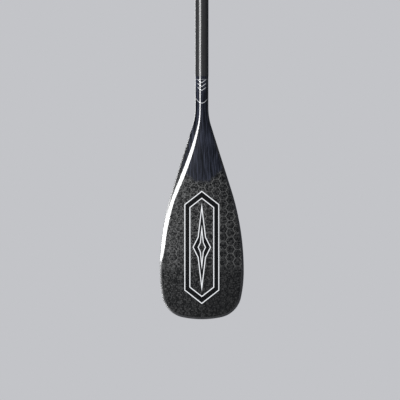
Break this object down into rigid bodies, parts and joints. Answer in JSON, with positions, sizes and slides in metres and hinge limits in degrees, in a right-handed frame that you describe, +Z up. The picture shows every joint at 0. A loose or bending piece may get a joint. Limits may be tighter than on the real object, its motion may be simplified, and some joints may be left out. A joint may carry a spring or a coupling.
{
  "type": "single-bladed adjustable paddle",
  "caption": "Raked single-blade paddle: hollow composite blade and neck on a telescoping shaft, held by a cam-lever collar clamp and topped by a wide palm grip.",
  "frame": {"origin": "on the shaft's axis, at the joint line where the lower tube meets the neck of the blade", "axes": "+Z up the shaft towards the grip, X across the blade, the blade's front face towards -Y"},
  "size_m": [0.183, 0.0937, 1.81],
  "materials": {
    "gloss_carbon": "clear-coated carbon laminate, gloss",
    "edge_plastic": "black rail, semi-gloss",
    "satin_carbon": "satin carbon tube",
    "extension_carbon": "satin carbon tube with a length scale",
    "inner_carbon": "raw laminate",
    "foam": "closed-cell foam",
    "black_nylon": "moulded nylon",
    "saddle_plastic": "smooth acetal",
    "lever_alloy": "black anodised",
    "stainless": "brushed",
    "nut_alloy": "anodised grey",
    "seal_rubber": "matt",
    "grip_plastic": "satin, lightly textured"
  },
  "bodies": {
    "paddle": {"front_skin": "gloss_carbon", "back_skin": "gloss_carbon", "edge_rail": "edge_plastic", "blade_core": "foam", "neck_spigot": "inner_carbon", "lower_tube": "satin_carbon", "shaft_bulkhead": "foam", "guide_bush": "black_nylon", "clamp_collar": "black_nylon", "barrel_pin": "stainless", "tension_bolt": "stainless", "cam_saddle": "saddle_plastic"},
    "lever": {"cam_lever": "lever_alloy"},
    "washer": {"nut_washer": "stainless"},
    "nut": {"thumb_nut": "nut_alloy"},
    "extension": {"extension_tube": "extension_carbon", "slide_ring": "black_nylon", "tube_bung": "black_nylon", "bung_seal": "seal_rubber", "grip_ferrule": "black_nylon", "grip_front_shell": "grip_plastic", "grip_rear_shell": "grip_plastic", "grip_core": "foam", "grip_spigot": "black_nylon"}
  },
  "joints": [
    {"name": "extension_slide", "type": "slide", "parent": "paddle", "child": "extension", "axis": [0, 0, 1], "range_m": [-0.1, 0.3]},
    {"name": "lever_turn", "type": "hinge", "parent": "paddle", "child": "lever", "pos_m": [0.026, -0.02183, 1.03], "axis": [0, 0, 1], "range_deg": [0, 110]},
    {"name": "nut_travel", "type": "slide", "parent": "paddle", "child": "washer", "axis": [0, 1, 0], "range_m": [0, 0.0016]},
    {"name": "nut_turn", "type": "hinge", "parent": "washer", "child": "nut", "pos_m": [0.026, 0.0157, 1.03], "axis": [0, 1, 0], "range_deg": [0, 720]}
  ],
  "couplings": [
    {"joint": "nut_turn", "follows": "nut_travel", "rad_per_m": 7854}
  ]
}
